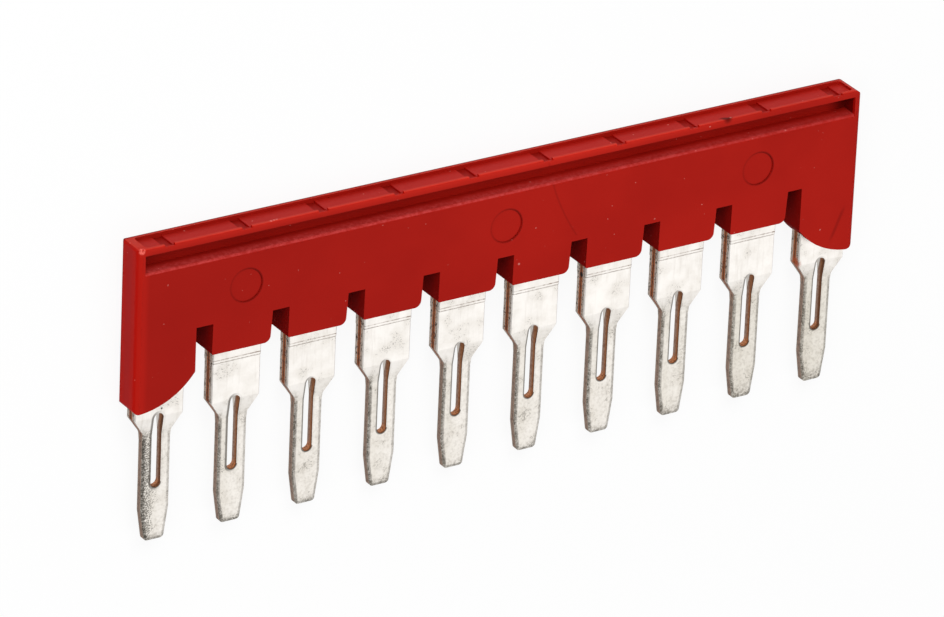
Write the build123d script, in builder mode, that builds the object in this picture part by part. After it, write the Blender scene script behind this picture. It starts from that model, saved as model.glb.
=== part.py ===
from build123d import *
import os

os.makedirs("parts", exist_ok=True)

# A ten pole plug-in jumper bar for a row of terminal blocks, lying on its flat back.
# X runs along the bar, +Y points to the rail with the marker channel, -Y to the contact tips,
# and +Z is the front. The origin is under the middle of the whole bar, on its back face.

# Driving dimensions of the moulded housing, in millimetres
pole_count = 10
pole_pitch = 8.2
end_overhang = 3.1
bar_thickness = 3.1
body_height = 9.25
tooth_half_left = 3.1
tooth_half_right = 3.3
tooth_length = 3.2
tooth_flare_left = 0.06
tooth_lean_right = 0.2
tooth_radius_left = 0.15
tooth_radius_right = 0.7
leg_half_width = 3.3
leg_length = 7.7
leg_arc_radius = 8.0
leg_radius_left = 0.45
leg_radius_right = 0.85
leg_inner_radius = 0.3
rail_radius_left = 0.35
rail_radius_right = 1.0
rail_edge_radius = 0.12
end_front_radius = 0.55
end_back_radius = 0.3

# Marker channel along the rail, with one cross groove a little to the right of each pole
channel_depth = 0.3
channel_back_rim = 0.45
channel_front_rim = 0.3
channel_end_rim = 0.95
channel_corner_radius = 0.35
cross_groove_width = 1.05
cross_groove_shift = 0.25
cross_groove_depth = 0.2
rim_notch_depth = 0.22

# Lever groove under the front rim, where a screwdriver lifts the bar out
groove_lip = 0.72
groove_height = 1.74
groove_depth = 1.7
groove_ledge_slope = 0.1
groove_end_wall = 0.78
groove_edge_radius = 0.3

# Round moulding marks on the front face
mark_count = 3
mark_spacing = 28.35
mark_drop = 6.0
mark_diameter = 3.4
mark_depth = 0.1

# The two stamped contact combs, which lie face to face inside the housing
sheet_thickness = 0.85
coined_thickness = 0.77
blade_thickness = 0.42
web_drop = 3.4
web_height = 5.2
web_overlap = 0.5
shank_width = 5.2
shank_reach = 5.55
coining_line_drop = 1.4
coining_line_height = 0.1
shoulder_height = 1.7
shoulder_foot_radius = 0.6
blade_width = 2.98
blade_length = 11.3
blade_tip_width = 2.05
blade_taper_length = 3.2
blade_tip_radius = 0.4
blade_bevel_width = 0.3
blade_bevel_depth = 0.09
shank_edge_bevel = 0.1
slot_width = 1.04
slot_length = 7.88
slot_rise = 0.34
moulding_clearance = 0.03

# Heights along Y, worked out from the rail down to the blade tips
overall_height = body_height + tooth_length + shank_reach + shoulder_height + blade_length
rail_y = overall_height / 2
body_end_y = rail_y - body_height
tooth_end_y = body_end_y - tooth_length
leg_end_y = body_end_y - leg_length
shank_end_y = tooth_end_y - shank_reach
blade_start_y = shank_end_y - shoulder_height
blade_tip_y = blade_start_y - blade_length
web_top_y = rail_y - web_drop
web_end_y = web_top_y - web_height
coining_line_y = tooth_end_y - coining_line_drop
slot_top_y = shank_end_y + slot_rise
groove_top_y = rail_y - groove_lip
groove_end_y = groove_top_y - groove_height

# Places along X and through the thickness
pole_row = (pole_count - 1) * pole_pitch
bar_length = pole_row + 2 * end_overhang
end_x = bar_length / 2
pole_places = [(pole - (pole_count - 1) / 2) * pole_pitch for pole in range(pole_count)]
web_length = pole_row + shank_width
seam_z = bar_thickness / 2
groove_wall_z = bar_thickness - groove_depth

# One tooth hangs under each inner pole. Its left side flares out a little, its right side leans
# in, and only the lower right corner is well rounded.
with BuildSketch() as tooth:
    with BuildLine():
        Polyline(
            (-tooth_half_left, body_end_y),
            (tooth_half_right, body_end_y),
            (tooth_half_right - tooth_lean_right, tooth_end_y),
            (-tooth_half_left - tooth_flare_left, tooth_end_y),
            close=True,
        )
    make_face()
    low_corners = tooth.vertices().group_by(Axis.Y)[0].sort_by(Axis.X)
    fillet(low_corners[0], tooth_radius_left)
    low_corners = tooth.vertices().group_by(Axis.Y)[0].sort_by(Axis.X)
    fillet(low_corners[-1], tooth_radius_right)

# The end legs reach further down, over half of the outermost shanks. The foot of a leg is an
# arc about a centre on the end of the bar. The right leg is the mirror image of the left one,
# but for the larger radius at its outer corner.
leg_inner_x = pole_places[0] + leg_half_width
with BuildSketch() as leg_shape:
    with Locations((-end_x, leg_end_y + leg_arc_radius)):
        Circle(leg_arc_radius)
    with Locations((-end_x, body_end_y)):
        Rectangle(
            leg_inner_x + end_x,
            leg_length,
            align=(Align.MIN, Align.MAX),
            mode=Mode.INTERSECT,
        )
    foot_corner = leg_shape.vertices().group_by(Axis.X)[-1].sort_by(Axis.Y)[0]
    fillet(foot_corner, leg_inner_radius)

with BuildSketch() as left_leg:
    add(leg_shape.sketch)
    fillet(left_leg.vertices().sort_by(Axis.Y)[0], leg_radius_left)

with BuildSketch() as right_leg:
    mirror(leg_shape.sketch, about=Plane.YZ)
    fillet(right_leg.vertices().sort_by(Axis.Y)[0], leg_radius_right)

# Front view of the housing: a plain bar with eight teeth and the two legs at its ends.
# The right end of the rail has the larger corner radius.
with BuildSketch() as front_outline:
    with Locations((0, rail_y)):
        Rectangle(bar_length, body_height, align=(Align.CENTER, Align.MAX))
    rail_corners = front_outline.vertices().group_by(Axis.Y)[-1].sort_by(Axis.X)
    fillet(rail_corners[0], rail_radius_left)
    rail_corners = front_outline.vertices().group_by(Axis.Y)[-1].sort_by(Axis.X)
    fillet(rail_corners[-1], rail_radius_right)
    with Locations(*[(x, 0) for x in pole_places[1:-1]]):
        add(tooth.sketch)
    add(left_leg.sketch)
    add(right_leg.sketch)

# Top view of the bar: the ends are well rounded at the front and less at the back
with BuildSketch(Plane.XZ.offset(-rail_y)) as end_rounding:
    with Locations((0, bar_thickness / 2)):
        Rectangle(bar_length, bar_thickness)
    fillet(end_rounding.vertices().group_by(Axis.Y)[-1], end_front_radius)
    fillet(end_rounding.vertices().group_by(Axis.Y)[0], end_back_radius)

# Side view of the bar: both long edges of the rail are slightly rounded
with BuildSketch(Plane.YZ) as rail_rounding:
    with Locations((rail_y, bar_thickness / 2)):
        Rectangle(overall_height, bar_thickness, align=(Align.MAX, Align.CENTER))
    fillet(rail_rounding.vertices().group_by(Axis.X)[-1], rail_edge_radius)

# Section of the lever groove: its ledge slopes down towards the front
with BuildSketch(Plane.YZ) as groove_section:
    with BuildLine():
        Polyline(
            (groove_top_y, groove_wall_z),
            (groove_top_y, bar_thickness),
            (groove_end_y - groove_ledge_slope, bar_thickness),
            (groove_end_y, groove_wall_z),
            close=True,
        )
    make_face()

# The space inside the housing that the plastic leaves around the web and the ten shanks
with BuildSketch(Plane.XY.offset(seam_z)) as comb_space:
    with Locations((0, web_top_y + moulding_clearance)):
        Rectangle(
            web_length + 2 * moulding_clearance,
            web_height + 2 * moulding_clearance,
            align=(Align.CENTER, Align.MAX),
        )
    with Locations(*[(x, web_end_y) for x in pole_places]):
        Rectangle(
            shank_width + 2 * moulding_clearance,
            web_end_y - shank_end_y,
            align=(Align.CENTER, Align.MAX),
        )

with BuildPart() as housing:
    extrude(front_outline.sketch, amount=bar_thickness)
    extrude(rail_rounding.sketch, amount=end_x, both=True, mode=Mode.INTERSECT)
    extrude(end_rounding.sketch, amount=overall_height, mode=Mode.INTERSECT)

    # Marker channel, open to the top
    with BuildSketch(Plane.XZ.offset(-rail_y)) as channel:
        with Locations((0, channel_back_rim)):
            RectangleRounded(
                bar_length - 2 * channel_end_rim,
                bar_thickness - channel_back_rim - channel_front_rim,
                channel_corner_radius,
                align=(Align.CENTER, Align.MIN),
            )
    extrude(amount=channel_depth, mode=Mode.SUBTRACT)

    # A cross groove in the channel floor at each pole
    with BuildSketch(Plane.XZ.offset(channel_depth - rail_y)) as cross_grooves:
        with Locations(*[(x + cross_groove_shift, channel_back_rim) for x in pole_places]):
            Rectangle(
                cross_groove_width,
                bar_thickness - channel_back_rim - channel_front_rim,
                align=(Align.CENTER, Align.MIN),
            )
    extrude(amount=cross_groove_depth, mode=Mode.SUBTRACT)

    # Each cross groove goes on as a shallower notch through the front rim
    with BuildSketch(Plane.XZ.offset(-rail_y)) as rim_notches:
        with Locations(*[(x + cross_groove_shift, bar_thickness) for x in pole_places]):
            Rectangle(
                cross_groove_width,
                2 * channel_front_rim,
                align=(Align.CENTER, Align.MAX),
            )
    extrude(amount=rim_notch_depth, mode=Mode.SUBTRACT)

    # Lever groove across the front, closed at both ends
    extrude(
        groove_section.sketch,
        amount=end_x - groove_end_wall,
        both=True,
        mode=Mode.SUBTRACT,
    )
    ledge_edge = (
        housing.edges()
        .filter_by(Axis.X)
        .group_by(Axis.Z)[-1]
        .sort_by(lambda edge: abs(edge.center().Y - groove_end_y + groove_ledge_slope))[0]
    )
    fillet(ledge_edge, groove_edge_radius)

    # Round moulding marks are sunk a little into the front face
    with BuildSketch(Plane.XY.offset(bar_thickness)) as marks:
        with Locations((0, rail_y - mark_drop)):
            with GridLocations(mark_spacing, 0, mark_count, 1):
                Circle(mark_diameter / 2)
    extrude(amount=-mark_depth, mode=Mode.SUBTRACT)

    # Space for the contact combs
    extrude(
        comb_space.sketch,
        amount=sheet_thickness + moulding_clearance,
        both=True,
        mode=Mode.SUBTRACT,
    )
housing.part.label = "housing"
export_step(housing.part, "parts/housing.step")

# One finger of a contact comb: a broad shank, sloping shoulders and a narrow blade
finger_top_y = web_end_y + web_overlap
with BuildSketch(Plane.XY.offset(seam_z)) as finger_outline:
    with BuildLine():
        Polyline(
            (-shank_width / 2, finger_top_y),
            (-shank_width / 2, shank_end_y),
            (-blade_width / 2, blade_start_y),
            (-blade_width / 2, blade_tip_y + blade_taper_length),
            (-blade_tip_width / 2, blade_tip_y),
            (blade_tip_width / 2, blade_tip_y),
            (blade_width / 2, blade_tip_y + blade_taper_length),
            (blade_width / 2, blade_start_y),
            (shank_width / 2, shank_end_y),
            (shank_width / 2, finger_top_y),
            close=True,
        )
    make_face()
    fillet(finger_outline.vertices().group_by(Axis.Y)[0], blade_tip_radius)
    shoulder_feet = finger_outline.vertices().sort_by(lambda corner: abs(corner.Y - blade_start_y))
    fillet(shoulder_feet[:2], shoulder_foot_radius)

# Side section of a finger: full sheet in the housing, a fine coining line on the shank,
# and a ramp down to the thin blade, which ends just below the shoulders
ramp_end_y = blade_start_y - shoulder_foot_radius / 2
with BuildSketch(Plane.YZ) as finger_section:
    with BuildLine():
        Polyline(
            (finger_top_y, seam_z),
            (finger_top_y, seam_z + sheet_thickness),
            (coining_line_y, seam_z + sheet_thickness),
            (coining_line_y - coining_line_height, seam_z + coined_thickness),
            (shank_end_y, seam_z + coined_thickness),
            (ramp_end_y, seam_z + blade_thickness),
            (blade_tip_y, seam_z + blade_thickness),
            (blade_tip_y, seam_z),
            close=True,
        )
    make_face()

with BuildPart() as finger:
    extrude(finger_outline.sketch, amount=sheet_thickness)
    extrude(finger_section.sketch, amount=shank_width, both=True, mode=Mode.INTERSECT)

    # Coining leaves a flat bevel along the outer edges of the blade
    blade_face = finger.faces().filter_by(Axis.Z).group_by(Axis.Z)[1][0]
    blade_edges = blade_face.edges().sort_by(Axis.Y)[:-1]
    chamfer(blade_edges, blade_bevel_width, blade_bevel_depth, reference=blade_face)

    # The straight sides of the shank have a finer bevel, also across the coining line
    shank_edges = finger.edges().filter_by(
        lambda edge: edge.center().Y > shank_end_y
        and edge.center().Z > seam_z + blade_thickness + shank_edge_bevel
        and abs(edge.center().X) > blade_width / 2 + shank_edge_bevel
    )
    chamfer(shank_edges, shank_edge_bevel)

    # A long slot lets the two sides of the blade spring in the terminal
    with BuildSketch(Plane.XY.offset(seam_z)) as slot:
        with Locations((0, slot_top_y - slot_length / 2)):
            SlotOverall(slot_length, slot_width, rotation=90)
    extrude(amount=sheet_thickness, mode=Mode.SUBTRACT)

# The comb: a web that joins all poles, with one finger under each
with BuildPart() as front_comb:
    with BuildSketch(Plane.XY.offset(seam_z)) as web:
        with Locations((0, web_top_y)):
            Rectangle(web_length, web_height, align=(Align.CENTER, Align.MAX))
    extrude(amount=sheet_thickness)
    with Locations(*[(x, 0) for x in pole_places]):
        add(finger.part)
front_comb.part.label = "contact_comb_front"
export_step(front_comb.part, "parts/contact_comb_front.step")

# The second comb is the same stamping turned over, so the flat faces meet in the middle
with BuildPart() as back_comb:
    mirror(front_comb.part, about=Plane.XY.offset(seam_z))
back_comb.part.label = "contact_comb_back"
export_step(back_comb.part, "parts/contact_comb_back.step")
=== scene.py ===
# %% [markdown]
# # A ten pole jumper bar for terminal blocks
#
# The bar bridges ten neighbouring rail terminals. A red moulded housing holds two stamped metal
# combs, and their slotted blades plug into the terminals. The shapes come from the CAD frame, so
# this lesson is about finishes, light and the camera: satin red plastic, and tin plated copper
# that is nearly white on its faces and brown where it was cut.

# %% Load the frame
import bpy
from mathutils import Matrix, Vector


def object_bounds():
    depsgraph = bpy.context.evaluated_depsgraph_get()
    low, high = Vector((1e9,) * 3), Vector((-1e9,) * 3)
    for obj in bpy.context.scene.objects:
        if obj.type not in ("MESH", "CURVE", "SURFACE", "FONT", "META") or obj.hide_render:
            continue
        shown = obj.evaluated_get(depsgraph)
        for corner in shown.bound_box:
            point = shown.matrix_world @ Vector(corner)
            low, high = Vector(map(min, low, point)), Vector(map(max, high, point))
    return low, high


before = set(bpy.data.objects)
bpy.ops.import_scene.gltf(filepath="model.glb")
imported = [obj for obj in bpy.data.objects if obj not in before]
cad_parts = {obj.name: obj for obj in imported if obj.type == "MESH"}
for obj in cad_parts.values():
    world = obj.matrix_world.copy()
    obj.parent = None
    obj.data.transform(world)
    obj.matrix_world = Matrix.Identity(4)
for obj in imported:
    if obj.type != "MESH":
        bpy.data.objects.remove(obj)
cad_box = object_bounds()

print("CAD nodes:", sorted(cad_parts))
print("CAD box in mm:", [[round(1000 * value, 2) for value in corner] for corner in cad_box])

# %% [markdown]
# ## A small language for shaders
#
# A finish such as worn tin is a sum of many small effects, so its node tree gets long. It could be
# drawn by hand in the shader editor, or written out node by node. Wrapping a socket in a class
# makes it short: an expression such as `1 - mask * 0.3` adds the Math nodes itself. Numbers go
# through Math nodes, colours through Mix nodes and vectors through Vector Math nodes.

# %% The socket class
class Value:
    """One socket of a finish. Expressions on it add the nodes that work them out."""

    def __init__(self, finish, socket):
        self.finish = finish
        self.socket = socket

    def math(self, operation, *inputs):
        return self.finish.node("ShaderNodeMath", {"operation": operation}, *inputs)

    def __add__(self, other):
        return self.math("ADD", self, other)

    def __radd__(self, other):
        return self.math("ADD", other, self)

    def __sub__(self, other):
        return self.math("SUBTRACT", self, other)

    def __rsub__(self, other):
        return self.math("SUBTRACT", other, self)

    def __mul__(self, other):
        return self.math("MULTIPLY", self, other)

    def __rmul__(self, other):
        return self.math("MULTIPLY", other, self)

    def __gt__(self, other):
        return self.math("GREATER_THAN", self, other)

    def __lt__(self, other):
        return self.math("LESS_THAN", self, other)

    def __abs__(self):
        return self.math("ABSOLUTE", self)

    def power(self, other):
        return self.math("POWER", self, other)

    def highest(self, other):
        return self.math("MAXIMUM", self, other)

    def ramp_between(self, low, high):
        """0 at low, 1 at high and a smooth step between them; low may be the larger one."""
        settings = {"interpolation_type": "SMOOTHSTEP", "clamp": True}
        return self.finish.node("ShaderNodeMapRange", settings, self, low, high, 0.0, 1.0)

    def near(self, middle, far, close):
        """1 within the close distance of a middle value, fading to 0 at the far distance."""
        return abs(self - middle).ramp_between(far, close)

    def painted(self, mask, colour):
        """This colour with another one over it, as far as the mask goes."""
        return self.finish.mix_colour(mask, self, colour)


# %% [markdown]
# A finish is one material. Its nodes come from the method `node`, which takes a node's settings
# first and then the values or links of its sockets. Only the Mix node has a method of its own,
# because its colour sockets have to be picked by number. A colour is written as on the web and
# turned into the linear light that a shader wants.

# %% The finish class
class Finish:
    """One material, or a world, built from node calls that return wrapped sockets."""

    def __init__(self, name, owner=None, output="ShaderNodeOutputMaterial"):
        self.owner = owner or bpy.data.materials.new(name)
        self.owner.use_nodes = True
        self.tree = self.owner.node_tree
        self.tree.nodes.clear()
        self.output = self.tree.nodes.new(output)

    def put(self, socket, value):
        if isinstance(value, Value):
            self.tree.links.new(value.socket, socket)
        else:
            socket.default_value = linear(value) if isinstance(value, str) else value

    def node(self, kind, settings=None, *inputs, output=0, **named):
        made = self.tree.nodes.new(kind)
        for key, setting in (settings or {}).items():
            setattr(made, key, setting)
        for socket, value in zip(made.inputs, inputs):
            self.put(socket, value)
        for key, value in named.items():
            self.put(made.inputs[key.replace("_", " ")], value)
        return Value(self, made.outputs[output])

    def mix_colour(self, factor, under, over):
        """Mix node for colours: its sockets 6 and 7 are the two colours, output 2 the result."""
        made = self.tree.nodes.new("ShaderNodeMix")
        made.data_type = "RGBA"
        self.put(made.inputs[0], factor)
        self.put(made.inputs[6], under)
        self.put(made.inputs[7], over)
        return Value(self, made.outputs[2])

    def report(self, step):
        print(self.owner.name, "with", step, "has", len(self.tree.nodes), "nodes")

    def finish(self, surface):
        self.put(self.output.inputs["Surface"], surface)
        self.report("everything")
        return self.owner


def linear(web_colour):
    """A web colour such as #a51e17 as the linear colour that a shader wants."""
    steps = [int(web_colour[start:start + 2], 16) / 255 for start in (1, 3, 5)]
    light = [step / 12.92 if step <= 0.04045 else ((step + 0.055) / 1.055) ** 2.4 for step in steps]
    return (*light, 1.0)


print("a middle grey is", round(linear("#808080")[0], 3), "in linear light")

# %% [markdown]
# ## Where things are on the bar
#
# A finish changes from place to place: a cut edge, the foot of a groove, a worn tip. Such marks
# could be painted on an image that is wrapped round the part. Masks that are worked out from the
# position need no unwrapping and stay sharp from close by, so they are used here. The outer
# sizes are read from the CAD box, and the others are the same as in the CAD model.

# %% Main sizes
MM = 0.001
POLE_PITCH = 8.2 * MM
HALF_LENGTH, RAIL_Y, FRONT_Z = cad_box[1]
BLADE_TIP_Y = cad_box[0][1]
SEAM_Z = FRONT_Z / 2
BODY_END_Y = RAIL_Y - 9.25 * MM
print("rail at", round(RAIL_Y / MM, 2), "mm, seam of the combs at", round(SEAM_Z / MM, 3), "mm")

# %% Position and facing of a point
def place_on_bar(finish):
    """The point of the surface in metres, in the frame of the CAD model."""
    return finish.node("ShaderNodeTexCoord", output="Object")


def facing(finish):
    """The direction in which the surface looks there."""
    return finish.node("ShaderNodeNewGeometry", output="Normal")


def parts_of(vector):
    split = vector.finish.node("ShaderNodeSeparateXYZ", {}, vector)
    outputs = split.socket.node.outputs
    return [Value(vector.finish, outputs[index]) for index in range(3)]


# %% [markdown]
# ## Red moulded plastic
#
# The housing is injection moulded and has a satin skin. Up close such plastic is never one
# colour: the melt leaves slow clouds of lighter and darker red, and the left of this bar is a
# shade deeper. A slow noise over the position makes the clouds, with no seam at the edges.

# %% Noise
def noise(vector, scale, detail, roughness):
    """Slow clouds at a low scale and fine grain at a high one, about 0.5 on average."""
    sockets = {"Vector": vector, "Scale": scale, "Detail": detail, "Roughness": roughness}
    return vector.finish.node("ShaderNodeTexNoise", {"noise_dimensions": "3D"}, **sockets)


def stretched(vector, x, y, z):
    """A larger factor packs the noise closer in that direction."""
    return vector.finish.node("ShaderNodeVectorMath", {"operation": "MULTIPLY"}, vector, (x, y, z))


# %% Clouds in the red
plastic = Finish("red_moulded_plastic")
place = place_on_bar(plastic)
x, y, z = parts_of(place)
facing_x, facing_y, _ = parts_of(facing(plastic))

clouds = noise(stretched(place, 1, 1, 2), 90, 3, 0.55)
red = plastic.mix_colour(clouds.ramp_between(0.3, 0.7), "#9f160e", "#a81a11")
towards_left = x.ramp_between(0.3 * HALF_LENGTH, -HALF_LENGTH)
red = red.painted(towards_left * 0.5, "#8f150f")
plastic.report("clouds")

# %% [markdown]
# ### Flow lines
#
# Where streams of melt meet, the plastic keeps a faint dark line: one runs down from the lever
# groove in a bend, and one leans across the right leg. The distance from a parabola or a straight
# line, faded out over a fraction of a millimetre, draws each of them.

# %% Flow lines
FLOW_X = 5.24 * MM
FLOW_TOP_Y = 12.13 * MM
FLOW_LEAN = 0.355
FLOW_BEND = 29.0
LEG_FLOW_X = 38.0 * MM
LEG_FLOW_Y = 1.6 * MM
LEG_FLOW_LEAN = 0.42

front = z > FRONT_Z - 0.12 * MM
down = FLOW_TOP_Y - y
flow = (x - down * FLOW_LEAN - down * down * FLOW_BEND).near(FLOW_X, 0.16 * MM, 0.04 * MM)
flow = flow * (y > BODY_END_Y + 0.6 * MM)
leg_flow = (x - (y - LEG_FLOW_Y) * LEG_FLOW_LEAN).near(LEG_FLOW_X, 0.32 * MM, 0.05 * MM)
leg_flow = leg_flow * y.near(LEG_FLOW_Y, 2.0 * MM, 0.9 * MM)
red = red.painted((flow * 0.3).highest(leg_flow * 0.42) * front, "#6f0c08")
plastic.report("flow lines")

# %% [markdown]
# ### Rings round the moulding marks
#
# The mould leaves three round marks on the front. Their rims are so low that they would hardly
# show, so painted shade is drawn along each rim, most on the right. The x value is wrapped at the
# spacing of the marks, so that one ring is drawn three times.

# %% Distance to the nearest of a row
def from_nearest(value, pitch):
    """Distance in metres to the nearest multiple of the pitch, negative on its left side."""
    return value.math("WRAP", value, pitch / 2, -pitch / 2)


# %% Painted shade round the marks
MARK_SPACING = 28.35 * MM
MARK_RADIUS = 1.7 * MM
MARK_Y = RAIL_Y - 6.0 * MM

mark_x = from_nearest(x, MARK_SPACING)
mark_y = y - MARK_Y
from_centre = (mark_x * mark_x + mark_y * mark_y).power(0.5)
# painted shade along the rim of each mark, darkest on the right
ring_shade = from_centre.near(MARK_RADIUS, 0.16 * MM, 0.03 * MM) * front
ring_shade = ring_shade * (0.22 + 0.4 * mark_x.ramp_between(-MARK_RADIUS, MARK_RADIUS))
red = red.painted(ring_shade, "#5a0805")
plastic.report("rings")

# %% [markdown]
# ### Edges that catch the light
#
# The lip above the lever groove, the top of the rim and the rounded left edge shine more than the
# front, because they turn to the light. Lamps alone don't separate them enough, so a painted
# highlight lifts their colour a little: most at the top of the lip, least at the right.

# %% Painted highlights on the lit edges
LIP_END_Y = RAIL_Y - 0.72 * MM
LIP_FADE_X = 10 * MM
LAST_SHANK_X = 36 * MM

# painted highlights on the lip, the top of the rim and the rounded left edge
lip_highlight = (y > LIP_END_Y - 0.02 * MM) * (z > FRONT_Z - 0.1 * MM)
lip_highlight = lip_highlight * (0.1 + 0.6 * y.ramp_between(LIP_END_Y - 0.1 * MM, RAIL_Y))
lip_highlight = lip_highlight * (1 - 0.7 * x.ramp_between(LIP_FADE_X, LAST_SHANK_X)) * (1 - 0.3 * towards_left)
red = red.painted(lip_highlight, "#c9281c")
rim_highlight = (y > RAIL_Y - 0.06 * MM) * facing_y.ramp_between(0.3, 0.8)
red = red.painted(rim_highlight * 0.5, "#cc4034")
left_edge_highlight = x.ramp_between(1.4 * MM - HALF_LENGTH, 0.7 * MM - HALF_LENGTH)
left_edge_highlight = left_edge_highlight * z.ramp_between(2.0 * MM, 2.7 * MM)
red = red.painted(left_edge_highlight * 0.45, "#b81c12")
plastic.report("lit edges")

# %% [markdown]
# ### The left end
#
# The end face is painted a purer, deeper red, which takes back the pale reflection it picks up at
# a grazing angle, and it has a dull band along its middle. The normal finds the face, because only
# there and in the notches does it point to the left, and the notches are darkened further on.

# %% Left end
BAND_Z = 1.5 * MM

left_end = (1 - facing_x).ramp_between(1.6, 1.9)
# painted offset: a purer red takes back the pale reflection on the end face
red = red.painted(left_end * 0.75, "#a60801")
dull_band = z.near(BAND_Z, 0.75 * MM, 0.3 * MM) * left_end
red = red.painted(dull_band * 0.3, "#8c181c")
plastic.report("left end")

# %% [markdown]
# ### Painted sheen on the ledge
#
# A screwdriver levers the bar out by the ledge of the groove. Its rounded front catches the light,
# so a pinkish painted sheen grows on it towards the front, in specks of a fine and rough noise.

# %% Painted sheen on the ledge
LEDGE_Y = LIP_END_Y - 1.74 * MM

sheen_specks = noise(place, 2600, 3, 0.75)
ledge_sheen = facing_y.ramp_between(0.15, 0.5) * (abs(y - LEDGE_Y) < 0.6 * MM)
ledge_sheen = ledge_sheen * z.ramp_between(1.6 * MM, 2.9 * MM)
ledge_sheen = ledge_sheen * (0.65 + 0.35 * x.ramp_between(HALF_LENGTH, 0.0))
# painted pinkish sheen on the ledge, strongest towards the front
red = red.painted(ledge_sheen * (0.4 + 0.7 * sheen_specks.ramp_between(0.38, 0.66)), "#bd3e3c")
plastic.report("sheen_specks")

# %% [markdown]
# ### The channel and the deep places
#
# The floor of the marker channel gets a pinkish painted sheen, lighter towards the front, and
# painted shade at the foot of its front rim. Cross grooves, notch walls, the end of the lever
# groove and the back edge get little light on the real bar. The room of the render is brighter,
# so painted shade darkens them here, and on the back edge it stands for a dark reflection.

# %% Channel and grooves
GROOVE_SHIFT = 0.25 * MM
GROOVE_HALF = 0.525 * MM
GROOVE_FLOOR_Y = RAIL_Y - 0.5 * MM
CHANNEL_TOP_Y = RAIL_Y - 0.2 * MM
CHANNEL_FOOT_Y = RAIL_Y - 0.6 * MM
BEHIND_RIM_Z = FRONT_Z - 0.35 * MM

channel = (y < CHANNEL_TOP_Y) * (y > CHANNEL_FOOT_Y) * (z < BEHIND_RIM_Z) * (facing_y > 0.7)
# painted sheen on the channel floor, lighter towards the front
red = red.painted(channel * 0.3 * z.ramp_between(0.4 * MM, 1.7 * MM), "#c03836")
# painted shade at the foot of the front rim
foot_shade = channel * 0.45 * z.ramp_between(BEHIND_RIM_Z - 0.35 * MM, BEHIND_RIM_Z)
red = red.painted(foot_shade, "#7e0502")
groove = abs(from_nearest(x + POLE_PITCH / 2 - GROOVE_SHIFT, POLE_PITCH)) < GROOVE_HALF
groove = groove * channel * (y < GROOVE_FLOOR_Y + 0.05 * MM)
notch_wall = (abs(facing_x) > 0.6) * (y < BODY_END_Y) * (abs(x) < HALF_LENGTH - 1.0 * MM)
# painted shade in the cross grooves and on the notch walls
red = red.painted((groove * 0.45).highest(notch_wall * 0.72), "#640402")
plastic.report("channel and notches")

# %% Painted shade in the deep end of the lever groove, and on the back edge
cavity = (y < LIP_END_Y - 0.05 * MM) * (y > LEDGE_Y - 0.3 * MM) * (z < BEHIND_RIM_Z)
cavity = cavity * x.ramp_between(HALF_LENGTH - 3.2 * MM, HALF_LENGTH - 1.0 * MM)
# painted shade in the deep end of the lever groove
red = red.painted(cavity * (1 - facing_y.ramp_between(0.5, 0.9)) * 0.7, "#300202")
back_edge_reflection = z.ramp_between(0.34 * MM, 0.16 * MM) * (y > CHANNEL_FOOT_Y)
# painted dark reflection along the back top edge
red = red.painted(back_edge_reflection * 0.6, "#54161a")
plastic.report("deep places")

# %% [markdown]
# ### Dust, small damage and a painted highlight
#
# Specks of dust lie all over the bar, thinly: a fine noise is cut off so high that only its
# peaks are left. A few larger specks, a dirty nick in the rim and a painted highlight on the left
# front corner are placed one by one, in millimetres from the middle of the bar.

# %% Spots
def spot(place, centre_in_mm, radius):
    """1 in a small ball about a point, fading to 0 at its rim."""
    centre = [MM * part for part in centre_in_mm]
    settings = {"operation": "DISTANCE"}
    away = place.finish.node("ShaderNodeVectorMath", settings, place, centre, output="Value")
    return away.ramp_between(radius, 0.5 * radius)


# %% Dust, nick and painted corner highlight
DUST_PLACES = (
    (-25.5, 15.45, 2.9), (-25.85, 15.5, 2.95), (-25.2, 15.5, 2.85),
    (24.95, 15.48, 2.85), (1.58, 5.18, 3.1),
)
RIM_NICK = (24.55, 15.5, 2.6)
HIGHLIGHT_CORNER = (-39.55, 15.32, 2.95)

dust = noise(place, 2600, 1, 0.5).ramp_between(0.785, 0.8)
for speck_place in DUST_PLACES:
    dust = dust.highest(spot(place, speck_place, 0.15 * MM))
red = red.painted(spot(place, RIM_NICK, 0.8 * MM) * 0.85, "#300403")
red = red.painted(dust * 0.5, "#dc968c")
# painted highlight on the rounded left front corner
corner_highlight = spot(place, HIGHLIGHT_CORNER, 0.4 * MM) * sheen_specks.ramp_between(0.4, 0.58)
red = red.painted(corner_highlight * 0.8, "#f57468")
plastic.report("dust")

# %% [markdown]
# ### The skin
#
# The spark eroded mould gives a very fine grain, and the plastic sinks in slow waves as it cools.
# Both are bumps, since neither changes the outline. The gloss is broad and soft, so the roughness
# is high and the specular level low.

# %% Bumps
def bump(height, strength, depth, under=None):
    """Tilts the surface as if it had this height; a second bump may lie under it."""
    sockets = {"Strength": strength, "Distance": depth, "Height": height}
    if under is not None:
        sockets["Normal"] = under
    return height.finish.node("ShaderNodeBump", {}, **sockets)


# %% Skin of the plastic
waves = bump(noise(place, 420, 2, 0.5), 0.1, 0.2 * MM)
skin = bump(noise(place, 9000, 2, 0.6), 0.1, 0.04 * MM, waves)
roughness = 0.4 + clouds * 0.12 + notch_wall * 0.3
red_plastic = plastic.finish(plastic.node(
    "ShaderNodeBsdfPrincipled", Base_Color=red, Roughness=roughness, Normal=skin,
    Specular_IOR_Level=0.03,
))

# %% [markdown]
# ## Tin plated copper
#
# The strip is plated before it is stamped. The faces keep their tin, nearly white with a grey
# fleck, while a press tool shears through the bare copper, so the cut edges and the inside of
# the slots are brown. It could be two materials on chosen faces. One material with a mask from
# the normal is better here, because the bevelled rims lie halfway between face and edge.

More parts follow.
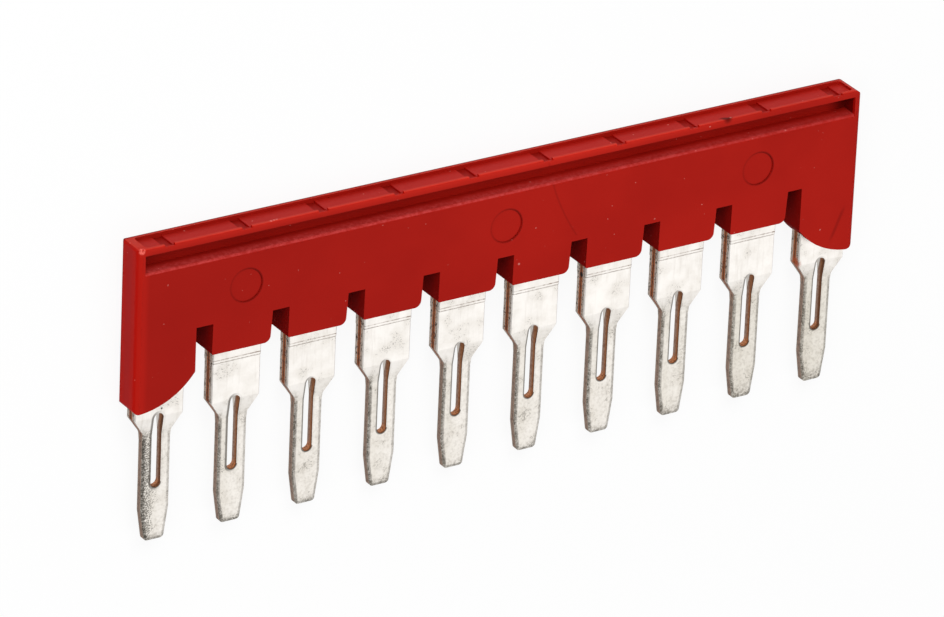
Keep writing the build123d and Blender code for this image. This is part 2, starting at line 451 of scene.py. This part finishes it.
# %% Where a point is on its blade
SHANK_END_Y = RAIL_Y - 18.0 * MM
SLOT_HALF = 0.52 * MM
SLOT_LENGTH = 7.88 * MM
SLOT_END_Y = SHANK_END_Y + 0.34 * MM - SLOT_LENGTH
SLOT_MID_Y = SLOT_END_Y + SLOT_LENGTH / 2

metal = Finish("tin_plated_copper")
place = place_on_bar(metal)
x, y, z = parts_of(place)
_, _, facing_z = parts_of(facing(metal))
cut_edge = 1 - abs(facing_z).ramp_between(0.35, 0.75)
from_pole = from_nearest(x + POLE_PITCH / 2, POLE_PITCH)
side = abs(from_pole)
leftwards = from_pole.ramp_between(0.5 * MM, -1.1 * MM)
rightmost = x.ramp_between(12 * MM, LAST_SHANK_X)
on_blade = y.ramp_between(SHANK_END_Y - 0.4 * MM, SHANK_END_Y - 2.5 * MM)
past_straight = (abs(y - SLOT_MID_Y) - (SLOT_LENGTH / 2 - SLOT_HALF)).highest(0.0)
from_slot = (past_straight * past_straight + side * side).power(0.5) - SLOT_HALF
metal.report("places")
print("slots end", round((SLOT_END_Y - BLADE_TIP_Y) / MM, 2), "mm above the blade tips")

# %% [markdown]
# ### Tin on the broad faces
#
# Four noises of different size serve nearly all that follows: slow patches, long press streaks,
# fine flecks and grit. The tin has slow clouds and streaks, and it is greyer on the blades,
# which rubbed in the terminals, most on the poles at the right.

# %% Tin
patches = noise(place, 480, 3, 0.6)
streaks = noise(stretched(place, 9, 0.8, 1), 300, 3, 0.6)
fine = noise(place, 3400, 3, 0.65)
grit = noise(place, 7500, 2, 0.6)

tin = metal.mix_colour(patches.ramp_between(0.35, 0.7), "#f1ede8", "#e8e3dc")
tin = tin.painted(streaks.ramp_between(0.52, 0.75) * 0.3, "#cdc6bd")
tin = tin.painted(on_blade * (0.25 + 0.2 * leftwards), "#d3ccbf")
tin = tin.painted(on_blade * rightmost * 0.3, "#bcb6a4")
mottling = fine.ramp_between(0.42, 0.7) * (on_blade + 0.15)
tin = tin.painted(mottling * (0.12 + 0.25 * patches + 0.08 * rightmost), "#a49c90")
metal.report("tin")

# %% [markdown]
# ### Wear and painted shade of the blades
#
# A blade is dull along its rims, most on the left, and at its tip, where it slides into the spring
# of the terminal. That dullness is partly wear and partly painted shade, where the bevels and the
# rounded tip turn from the light. Rubbed through specks gather in the same places, and they cover
# the left of the first blade. The distance to the tapered outline gives the rim.

# %% Dull rims with painted shade, specks and scratches
BLADE_HALF = 1.49 * MM
TIP_HALF = 1.02 * MM
BLADE_TAPER_Y = BLADE_TIP_Y + 3.2 * MM
FIRST_BLADE_END_X = -33 * MM

taper = y.ramp_between(BLADE_TAPER_Y, BLADE_TIP_Y)
half_width = BLADE_HALF - taper * (BLADE_HALF - TIP_HALF)
near_rim = (half_width - side).ramp_between(0.42 * MM, 0.05 * MM) * on_blade
near_tip = y.ramp_between(BLADE_TIP_Y + (1.0 + 1.2 * rightmost) * MM, BLADE_TIP_Y)
# painted shade on the bevelled rims and the tip, mixed with their wear
rim_shade_and_wear = (near_rim * (0.35 + 0.55 * leftwards)).highest(near_tip * 0.7)
tin = tin.painted(rim_shade_and_wear * (0.25 + 0.8 * fine.ramp_between(0.36, 0.64)), "#7f776b")

first_blade = (x < FIRST_BLADE_END_X) * on_blade * leftwards
worn = (near_rim * leftwards).highest(near_tip * 0.8).highest(first_blade * 1.45)
specks = (grit + worn * 0.09).ramp_between(0.585, 0.645)
specks = specks * (patches + worn * 0.16).ramp_between(0.54, 0.63)
tin = tin.painted(specks * (0.48 + 0.2 * worn), "#48433c")

scratch = noise(place, 700, 2, 0.5).near(0.5, 0.012, 0.004)
scratch = scratch * (patches + 0.06 * on_blade).ramp_between(0.58, 0.64)
tin = tin.painted(scratch * (0.1 + 0.32 * on_blade), "#6c665d")
metal.report("wear")

# %% [markdown]
# ### Marks of the press tool
#
# The coining tool leaves two fine brown lines across the shank, the upper one stronger. Round the
# slot the punch drags the rim down, and the rounded rim turns from the light: a painted shade line
# draws it, wide on the left of the first blades and thin round the lower end of every slot.

# %% Coining lines and painted shade on the slot rims
COINING_LINE_Y = RAIL_Y - 13.85 * MM
COINING_LINE_GAP = 0.27 * MM
FINE_LINE = (0.08 * MM, 0.03 * MM)
THIRD_POLE_X = -20 * MM
SECOND_POLE_X = -29 * MM

lower_line = y.near(COINING_LINE_Y, *FINE_LINE) * 0.45
upper_line = y.near(COINING_LINE_Y + COINING_LINE_GAP, *FINE_LINE)
upper_line = upper_line * (0.5 + 0.4 * from_pole.ramp_between(0.5 * MM, 2.4 * MM))
coining_lines = lower_line.highest(upper_line) * (0.4 + 0.6 * fine.ramp_between(0.4, 0.6))
tin = tin.painted(coining_lines, "#6b4a32")

rim_width = 0.18 * MM + 0.12 * MM * x.ramp_between(THIRD_POLE_X, SECOND_POLE_X)
# painted shade along the rolled rim of each slot
left_rim_shade = from_slot.ramp_between(rim_width, 0.5 * rim_width) * (0.1 + 0.85 * leftwards)
end_rim_shade = from_slot.ramp_between(0.13 * MM, 0.05 * MM) * (y < SLOT_END_Y + 0.5 * MM) * 0.9
tin = tin.painted(left_rim_shade.highest(end_rim_shade), "#4f4841")
metal.report("press marks")

# %% [markdown]
# ### Sheared edges
#
# The tool smears some tin over the cut from the outer faces, with pits in it, and only the middle
# of the edge is bare copper. Two layers lie face to face, so a dark joint runs along the middle.
# The height from the seam, roughened with noise, sorts the three.

# %% Sheared edges
pits = (fine * 0.6 + grit * 0.4).ramp_between(0.5, 0.58)
smeared = metal.mix_colour(pits, "#b8aba0", "#4d423b")
smeared = smeared.painted(on_blade * 0.7, "#8d8378")
copper = metal.mix_colour(fine.ramp_between(0.35, 0.65), "#b06c42", "#84482a")
from_seam = abs(z - SEAM_Z)
bared = (from_seam + (fine - 0.5) * 0.3 * MM).ramp_between(0.34 * MM, 0.2 * MM)
sheared = smeared.painted(bared * (1 - on_blade * 0.75), copper)
joint = (from_seam + (grit - 0.5) * 0.1 * MM).ramp_between(0.11 * MM, 0.03 * MM)
sheared = sheared.painted(joint * 0.85 * (1 - on_blade * 0.7), "#241009")
metal.report("sheared edges")

# %% [markdown]
# ### Walls of the slots
#
# A slot is punched, so its walls are bare copper: greyer at the back, brightest at the lower end,
# and dark just behind the front rim. On the outer poles the dark band reaches deeper. At the back
# face the tin begins again, which keeps a thin pale line there.

# %% Slot walls
BLADE_THICK = 0.42 * MM
RAMP_RISE = 0.35 * MM
OUTER_POLES_X = 33 * MM

towards_front = (z - SEAM_Z).ramp_between(-0.25 * MM, 0.2 * MM)
slot_copper = metal.mix_colour(towards_front, "#a58e80", "#ab744c")
slot_copper = slot_copper.painted(fine.ramp_between(0.4, 0.68) * 0.6, "#7c4a2e")
thickness = BLADE_THICK + RAMP_RISE * y.ramp_between(SHANK_END_Y - 2.0 * MM, SHANK_END_Y)
from_front = SEAM_Z + thickness - z
low_end = y.ramp_between(SLOT_END_Y + 0.9 * MM, SLOT_END_Y + 0.3 * MM)
slot_copper = slot_copper.painted(low_end * 0.6, "#e39a68")
slot_copper = slot_copper.painted(low_end * grit.ramp_between(0.44, 0.6) * 0.6, "#54301c")
dark_behind_rim = from_front.ramp_between(0.22 * MM, 0.06 * MM)
dark_behind_rim = dark_behind_rim.highest(from_front.ramp_between(0.5 * MM, 0.3 * MM) * (abs(x) > OUTER_POLES_X))
slot_copper = slot_copper.painted(dark_behind_rim * 0.65, "#54301c")

in_slot = from_slot < 0.04 * MM
sheared = sheared.painted(in_slot, slot_copper)
sheared = sheared.painted(in_slot * (from_front > 2 * BLADE_THICK + 0.02 * MM), tin)
plated = tin.painted(cut_edge, sheared)
metal.report("slot walls")

# %% [markdown]
# ### Single flaws
#
# Three flaws are large enough to be seen one by one: a black speck on the first shank, a dark
# nick in the edge of the seventh and a copper burr on the shoulder of the tenth.

# %% Flaws, and the metal's own surface
BLACK_SPECK = (-36.64, -1.7, 2.32)
EDGE_NICK = (9.7, 1.68, 1.6)
COPPER_BURR = (34.25, -2.3, 1.75)

dark_flaws = spot(place, BLACK_SPECK, 0.12 * MM).highest(spot(place, EDGE_NICK, 0.34 * MM))
plated = plated.painted(dark_flaws, "#1a1411")
burr = spot(place, COPPER_BURR, 0.8 * MM) * fine.ramp_between(0.38, 0.5)
plated = plated.painted(burr * 0.95, "#a9532f")

rolled = bump(streaks, 0.12, 0.05 * MM)
worn_skin = bump(fine, 0.2, 0.03 * MM, rolled)
plated_metal = metal.finish(metal.node(
    "ShaderNodeBsdfPrincipled", Base_Color=plated, Metallic=1.0,
    Roughness=0.38 + patches * 0.14 + cut_edge * 0.2, Normal=worn_skin,
))

# %% [markdown]
# ## Giving each node its finish
#
# The CAD nodes keep their shapes. Only what is in their material slots is exchanged.

# %% Assign the finishes
for name, material in (
    ("housing", red_plastic),
    ("contact_comb_front", plated_metal),
    ("contact_comb_back", plated_metal),
):
    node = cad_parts[name]
    node.data.materials.clear()
    node.data.materials.append(material)
    print(name, "has", len(node.data.polygons), "faces and finish", material.name)

# %% [markdown]
# ## The table
#
# The bar lies on its flat back on a pale table, and the camera looks down on it. The photograph
# has a plain white ground. A real white table would come out light grey, so plain white is mixed
# into it, for the camera and for reflections only. The rest of it stays an ordinary white
# surface that takes the bar's soft shadow.

# %% Table
WHITE_SHARE = 0.88
TABLE_PAINT = (0.9, 0.9, 0.9, 1.0)
TABLE_SIZE = 3.0


def seen_by(finish, *kinds):
    """1 for a ray of any of these kinds, and 0 for all others."""
    outputs = finish.node("ShaderNodeLightPath").socket.node.outputs
    seen, *others = [Value(finish, outputs[kind]) for kind in kinds]
    for other in others:
        seen = seen.highest(other)
    return seen


white = Finish("white_table")
paint = white.node(
    "ShaderNodeBsdfPrincipled", Base_Color=TABLE_PAINT, Roughness=0.9, Specular_IOR_Level=0.0,
)
glow = white.node("ShaderNodeEmission", Color="#ffffff", Strength=1.0)
seen = seen_by(white, "Is Camera Ray", "Is Glossy Ray", "Is Transmission Ray")

bpy.ops.mesh.primitive_plane_add(size=TABLE_SIZE, location=(0, 0, 0))
table = bpy.context.object
table.name = "table"
table_top = white.node("ShaderNodeMixShader", {}, seen * WHITE_SHARE, paint, glow)
table.data.materials.append(white.finish(table_top))
print("table lies at z =", table.location.z)

# %% [markdown]
# ## The room
#
# The room is white where the camera sees it. As a light it is dimmer, so that the lamps and not
# the room shape the bar.

# %% Room
ROOM_LIGHT = 0.3

world = bpy.data.worlds.new("white_room")
bpy.context.scene.world = world
room = Finish("white_room", world, "ShaderNodeOutputWorld")
seen = seen_by(room, "Is Camera Ray", "Is Transmission Ray")
strength = ROOM_LIGHT + (1 - ROOM_LIGHT) * seen
room.finish(room.node("ShaderNodeBackground", Color="#ffffff", Strength=strength))

# %% [markdown]
# ## Soft lamps
#
# Three big soft boxes do the work. One hangs beyond the rail and above, so the rail and its
# rounded edges are the brightest lines on the plastic. One stands on the side of the blades and
# fills the front, and a weak one on the left lights the end face. Big boxes give soft shadows and
# broad reflections, as in the photograph.

# %% Lamps
def soft_box(name, place, width, height, power):
    """A lamp that aims at the middle of the bar. Its power is in watts and the rest in metres."""
    lamp = bpy.data.lights.new(name, "AREA")
    lamp.shape = "RECTANGLE"
    lamp.size = width
    lamp.size_y = height
    lamp.energy = power
    holder = bpy.data.objects.new(name, lamp)
    holder.location = place
    holder.rotation_euler = (-Vector(place)).to_track_quat("-Z", "Y").to_euler()
    bpy.context.collection.objects.link(holder)
    print("lamp", name, "at", place, "power", power)


soft_box("rail_light", (-0.15, 0.54, 0.5), 0.6, 0.4, 3.5)
soft_box("front_light", (0.39, -0.35, 0.6), 0.75, 0.75, 2.0)
soft_box("left_light", (-0.5, 0.1, 0.4), 0.5, 0.5, 1.5)

# %% [markdown]
# ## The camera
#
# The photograph was taken with a long lens from the upper left, looking down on the front. The
# directions of the camera were worked out from the edges of the bar. Its right and its up are
# written here, and its back is square to both.

# %% Camera
LENS = 334.1
CAMERA_PLACE = (-0.405196, 0.362573, 0.628959)
CAMERA_RIGHT = (0.851138, 0.040100, 0.523408)
CAMERA_UP = (0.198110, 0.898810, -0.391016)

camera_data = bpy.data.cameras.new("photo_camera")
camera_data.sensor_width = 36.0
camera_data.lens = LENS
camera_data.shift_x = -0.0014
camera_data.shift_y = -0.0014
camera_data.clip_start = 0.01
camera_data.dof.use_dof = False
right = Vector(CAMERA_RIGHT)
up = Vector(CAMERA_UP)
back = right.cross(up)
turn = Matrix((right, up, back)).transposed()
camera = bpy.data.objects.new("photo_camera", camera_data)
camera.matrix_world = Matrix.Translation(CAMERA_PLACE) @ turn.to_4x4()
bpy.context.collection.objects.link(camera)
bpy.context.scene.camera = camera
bpy.context.scene.view_settings.view_transform = "Standard"
print("camera looks along", [round(value, 3) for value in -back])
